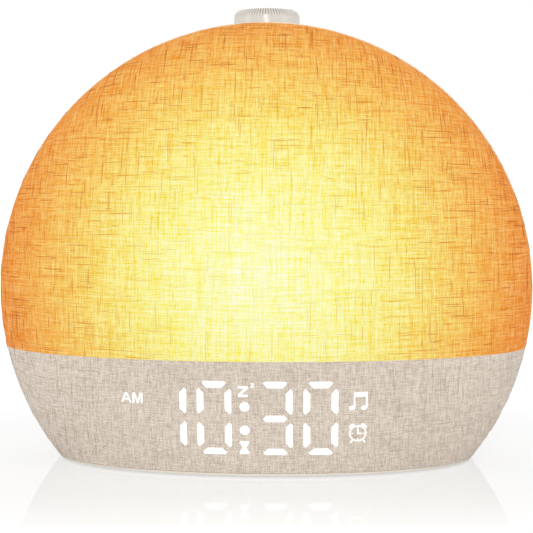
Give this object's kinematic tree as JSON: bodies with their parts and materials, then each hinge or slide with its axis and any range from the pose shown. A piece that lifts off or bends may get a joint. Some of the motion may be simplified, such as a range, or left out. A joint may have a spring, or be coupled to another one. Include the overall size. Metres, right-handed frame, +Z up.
{
  "type": "sunrise alarm clock",
  "caption": "Free-standing sunrise alarm clock: a cloth-covered half dome lamp over a clock display seen through the cloth, with a turn-and-press knob on top and push buttons at the back.",
  "frame": {"origin": "middle of the footprint on the surface that it stands on", "axes": "+Z up, -Y out of the cloth front, +X to the right seen from the front"},
  "size_m": [0.1908, 0.092, 0.1612],
  "materials": {
    "woven_cloth": "linen-look weave, back-lit above the horizon line",
    "cream_plastic": "fine moulded texture",
    "knob_plastic": "satin",
    "opal_plastic": "translucent, matt",
    "white_plastic": "matt",
    "dark_plastic": "matt",
    "clear_guide": "polished light guide",
    "circuit_board": "solder mask",
    "lamp_metal": "white solder mask on an aluminium core",
    "led_package": "moulded package",
    "screw_steel": "plated",
    "cell_steel": "bright",
    "magnet_ferrite": "sintered ferrite",
    "basket_steel": "black paint",
    "cone_paper": "pressed paper",
    "soft_rubber": "matt",
    "foot_rubber": "matt",
    "contact_brass": "bright",
    "cable_sleeve": "satin"
  },
  "bodies": {
    "case": {"fabric_cover": "woven_cloth", "light_diffuser": "opal_plastic", "lower_front_panel": "white_plastic", "light_baffle": "white_plastic", "reflector_tray": "white_plastic", "lamp_board": "lamp_metal", "lamp_leds": "led_package", "lamp_connector": "white_plastic", "lamp_board_screws": "screw_steel", "segment_housing": "dark_plastic", "segment_lenses": "clear_guide", "display_board": "circuit_board", "display_leds": "led_package", "display_screws": "screw_steel", "rear_shell": "cream_plastic", "speaker_grille": "cream_plastic", "shell_screws": "screw_steel", "base_plate": "cream_plastic", "rubber_feet": "foot_rubber", "base_screws": "screw_steel", "coin_cell": "cell_steel", "battery_holder": "dark_plastic", "battery_contact": "contact_brass", "main_board": "circuit_board", "main_board_screws": "screw_steel", "board_chips": "dark_plastic", "capacitors": "dark_plastic", "board_connectors": "white_plastic", "power_jack": "dark_plastic", "speaker_gasket": "soft_rubber", "speaker_frame": "basket_steel", "speaker_magnet": "magnet_ferrite", "speaker_cone": "cone_paper", "speaker_surround": "soft_rubber", "speaker_screws": "screw_steel", "encoder_body": "dark_plastic", "encoder_bushing": "screw_steel", "encoder_washer": "screw_steel", "encoder_nut": "screw_steel", "encoder_board": "circuit_board", "button_switches": "dark_plastic", "button_board": "circuit_board", "button_board_screws": "screw_steel", "lamp_ribbon": "cable_sleeve", "display_ribbon": "cable_sleeve", "button_ribbon": "cable_sleeve", "encoder_ribbon": "cable_sleeve", "speaker_leads": "soft_rubber"},
    "press_slider": {"encoder_plunger": "dark_plastic"},
    "knob": {"knob_cap": "knob_plastic", "encoder_shaft": "screw_steel"},
    "cell_cap": {"battery_cap": "cream_plastic"},
    "alarm_key": {"button_alarm": "cream_plastic"},
    "lamp_key": {"button_lamp": "cream_plastic"},
    "sound_key": {"button_sound": "cream_plastic"},
    "sleep_key": {"button_sleep": "cream_plastic"},
    "set_key": {"button_set": "cream_plastic"}
  },
  "joints": [
    {"name": "knob_press", "type": "slide", "parent": "case", "child": "press_slider", "axis": [0, 0, -1], "range_m": [0, 0.0015], "stiffness_N_per_m": 1500, "springref_m": -0.001},
    {"name": "knob_turn", "type": "hinge", "parent": "press_slider", "child": "knob", "pos_m": [0, 0.017, 0.155], "axis": [0, 0, 1], "continuous": true},
    {"name": "cell_cap_turn", "type": "hinge", "parent": "case", "child": "cell_cap", "pos_m": [-0.014, 0.006, 0.0015], "axis": [0, 0, -1], "range_deg": [0, 60]},
    {"name": "alarm_press", "type": "slide", "parent": "case", "child": "alarm_key", "axis": [0, -1, 0], "range_m": [0, 0.0005], "stiffness_N_per_m": 2000, "springref_m": -0.0005},
    {"name": "lamp_press", "type": "slide", "parent": "case", "child": "lamp_key", "axis": [0, -1, 0], "range_m": [0, 0.0005], "stiffness_N_per_m": 2000, "springref_m": -0.0005},
    {"name": "sound_press", "type": "slide", "parent": "case", "child": "sound_key", "axis": [0, -1, 0], "range_m": [0, 0.0005], "stiffness_N_per_m": 2000, "springref_m": -0.0005},
    {"name": "sleep_press", "type": "slide", "parent": "case", "child": "sleep_key", "axis": [0, -1, 0], "range_m": [0, 0.0005], "stiffness_N_per_m": 2000, "springref_m": -0.0005},
    {"name": "set_press", "type": "slide", "parent": "case", "child": "set_key", "axis": [0, -1, 0], "range_m": [0, 0.0005], "stiffness_N_per_m": 2000, "springref_m": -0.0005}
  ]
}
